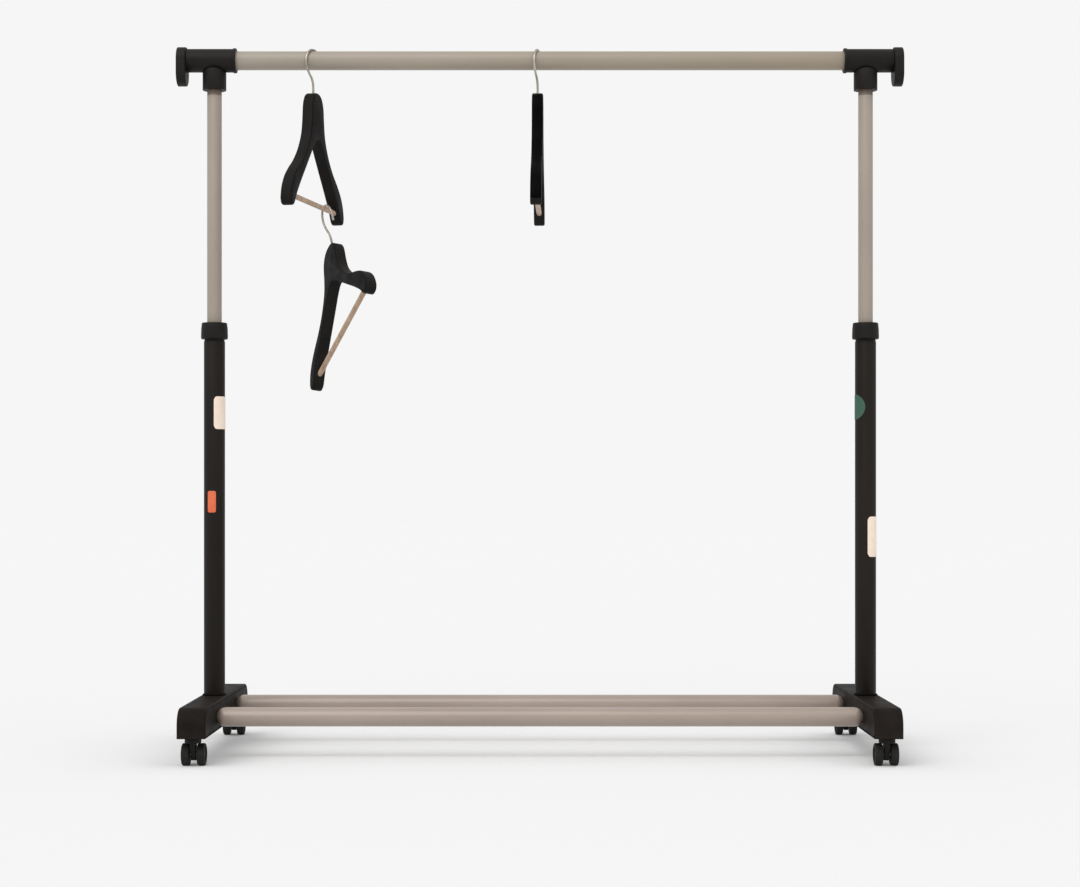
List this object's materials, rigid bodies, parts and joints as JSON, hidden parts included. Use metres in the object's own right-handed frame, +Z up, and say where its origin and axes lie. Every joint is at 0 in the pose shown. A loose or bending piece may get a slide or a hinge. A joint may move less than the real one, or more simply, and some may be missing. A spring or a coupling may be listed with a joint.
{
  "type": "garment rack",
  "caption": "Rolling height-adjustable garment rack on twin-wheel casters, with coat hangers on its rail.",
  "frame": {"origin": "centre of the base on the floor, midway between the uprights", "axes": "+X along the hanging rail to the right seen from the front, -Y towards the front, +Z up"},
  "size_m": [1.2466, 0.508, 1.2076],
  "materials": {
    "rail_paint": "satin",
    "upright_paint": "satin",
    "moulding": "matte",
    "nylon": "matte",
    "steel": "satin",
    "tread": "matte",
    "hanger_black": "satin lacquer",
    "bar_wood": "clear matte",
    "hook_wire": "brushed",
    "label_cream": "matte",
    "label_orange": "matte",
    "label_green": "matte"
  },
  "bodies": {
    "base": {"foot_left": "moulding", "foot_right": "moulding", "lower_rail_front": "rail_paint", "lower_rail_back": "rail_paint", "outer_tube_left": "upright_paint", "outer_tube_right": "upright_paint", "collet_left": "nylon", "collet_right": "nylon", "upright_bolt_left": "steel", "upright_bolt_right": "steel", "rail_screw_front_left": "steel", "rail_screw_front_right": "steel", "rail_screw_back_left": "steel", "rail_screw_back_right": "steel", "sticker_cream_left": "label_cream", "sticker_orange_left": "label_orange", "sticker_green_right": "label_green", "sticker_cream_right": "label_cream"},
    "rail_frame": {"hang_rail": "rail_paint", "tee_left": "moulding", "tee_right": "moulding", "end_stop_left": "moulding", "end_stop_right": "moulding", "inner_tube_left": "rail_paint", "inner_tube_right": "rail_paint", "guide_bush_left": "nylon", "guide_bush_right": "nylon"},
    "collar_left": {"lock_collar_left": "moulding"},
    "collar_right": {"lock_collar_right": "moulding"},
    "hook_a": {"hanger_a_hook": "hook_wire"},
    "hanger_a": {"hanger_a_body": "hanger_black", "hanger_a_bar": "bar_wood"},
    "hook_b": {"hanger_b_hook": "hook_wire"},
    "hanger_b": {"hanger_b_body": "hanger_black", "hanger_b_bar": "bar_wood"},
    "hook_c": {"hanger_c_hook": "hook_wire"},
    "hanger_c": {"hanger_c_body": "hanger_black", "hanger_c_bar": "bar_wood"},
    "caster_fl": {"caster_fl_stem": "steel", "caster_fl_housing": "moulding", "caster_fl_axle": "steel"},
    "wheel_fl_l": {"caster_fl_wheel_l": "tread"},
    "wheel_fl_r": {"caster_fl_wheel_r": "tread"},
    "caster_fr": {"caster_fr_stem": "steel", "caster_fr_housing": "moulding", "caster_fr_axle": "steel"},
    "wheel_fr_l": {"caster_fr_wheel_l": "tread"},
    "wheel_fr_r": {"caster_fr_wheel_r": "tread"},
    "caster_bl": {"caster_bl_stem": "steel", "caster_bl_housing": "moulding", "caster_bl_axle": "steel"},
    "wheel_bl_l": {"caster_bl_wheel_l": "tread"},
    "wheel_bl_r": {"caster_bl_wheel_r": "tread"},
    "caster_br": {"caster_br_stem": "steel", "caster_br_housing": "moulding", "caster_br_axle": "steel"},
    "wheel_br_l": {"caster_br_wheel_l": "tread"},
    "wheel_br_r": {"caster_br_wheel_r": "tread"}
  },
  "joints": [
    {"name": "rail_height", "type": "slide", "parent": "base", "child": "rail_frame", "axis": [0, 0, 1], "range_m": [-0.38, 0.12]},
    {"name": "collar_left_twist", "type": "hinge", "parent": "base", "child": "collar_left", "pos_m": [-0.56, 0, 0.72], "axis": [0, 0, 1], "range_deg": [0, 90]},
    {"name": "collar_right_twist", "type": "hinge", "parent": "base", "child": "collar_right", "pos_m": [0.56, 0, 0.72], "axis": [0, 0, 1], "range_deg": [0, 90]},
    {"name": "hanger_a_swing", "type": "hinge", "parent": "rail_frame", "child": "hook_a", "pos_m": [-0.39, 0, 1.185], "axis": [1, 0, 0], "range_deg": [-25, 25]},
    {"name": "hanger_a_swivel", "type": "hinge", "parent": "hook_a", "child": "hanger_a", "pos_m": [-0.39, 0, 1.1283], "axis": [0, 0, 1], "range_deg": [-30, 30]},
    {"name": "hanger_b_swing", "type": "hinge", "parent": "hanger_a", "child": "hook_b", "pos_m": [-0.37586, 0.06651, 0.9383], "axis": [0.2079, 0.9781, 0], "range_deg": [-35, 35]},
    {"name": "hanger_b_swivel", "type": "hinge", "parent": "hook_b", "child": "hanger_b", "pos_m": [-0.36352, 0.07324, 0.87143], "axis": [-0.1351, 0.5468, 0.8263], "range_deg": [-35, 35]},
    {"name": "hanger_c_swing", "type": "hinge", "parent": "rail_frame", "child": "hook_c", "pos_m": [-0.004, 0, 1.185], "axis": [1, 0, 0], "range_deg": [-40, 40]},
    {"name": "hanger_c_swivel", "type": "hinge", "parent": "hook_c", "child": "hanger_c", "pos_m": [-0.004, 0, 1.1283], "axis": [0, 0, 1], "continuous": true},
    {"name": "caster_fl_swivel", "type": "hinge", "parent": "base", "child": "caster_fl", "pos_m": [-0.56, -0.228, 0.046], "axis": [0, 0, 1], "continuous": true},
    {"name": "wheel_fl_l_spin", "type": "hinge", "parent": "caster_fl", "child": "wheel_fl_l", "pos_m": [-0.57275, -0.218, 0.018], "axis": [1, 0, 0], "continuous": true},
    {"name": "wheel_fl_r_spin", "type": "hinge", "parent": "caster_fl", "child": "wheel_fl_r", "pos_m": [-0.54725, -0.218, 0.018], "axis": [1, 0, 0], "continuous": true},
    {"name": "caster_fr_swivel", "type": "hinge", "parent": "base", "child": "caster_fr", "pos_m": [0.56, -0.228, 0.046], "axis": [0, 0, 1], "continuous": true},
    {"name": "wheel_fr_l_spin", "type": "hinge", "parent": "caster_fr", "child": "wheel_fr_l", "pos_m": [0.54725, -0.218, 0.018], "axis": [1, 0, 0], "continuous": true},
    {"name": "wheel_fr_r_spin", "type": "hinge", "parent": "caster_fr", "child": "wheel_fr_r", "pos_m": [0.57275, -0.218, 0.018], "axis": [1, 0, 0], "continuous": true},
    {"name": "caster_bl_swivel", "type": "hinge", "parent": "base", "child": "caster_bl", "pos_m": [-0.56, 0.228, 0.046], "axis": [0, 0, 1], "continuous": true},
    {"name": "wheel_bl_l_spin", "type": "hinge", "parent": "caster_bl", "child": "wheel_bl_l", "pos_m": [-0.57275, 0.238, 0.018], "axis": [1, 0, 0], "continuous": true},
    {"name": "wheel_bl_r_spin", "type": "hinge", "parent": "caster_bl", "child": "wheel_bl_r", "pos_m": [-0.54725, 0.238, 0.018], "axis": [1, 0, 0], "continuous": true},
    {"name": "caster_br_swivel", "type": "hinge", "parent": "base", "child": "caster_br", "pos_m": [0.56, 0.228, 0.046], "axis": [0, 0, 1], "continuous": true},
    {"name": "wheel_br_l_spin", "type": "hinge", "parent": "caster_br", "child": "wheel_br_l", "pos_m": [0.54725, 0.238, 0.018], "axis": [1, 0, 0], "continuous": true},
    {"name": "wheel_br_r_spin", "type": "hinge", "parent": "caster_br", "child": "wheel_br_r", "pos_m": [0.57275, 0.238, 0.018], "axis": [1, 0, 0], "continuous": true}
  ]
}
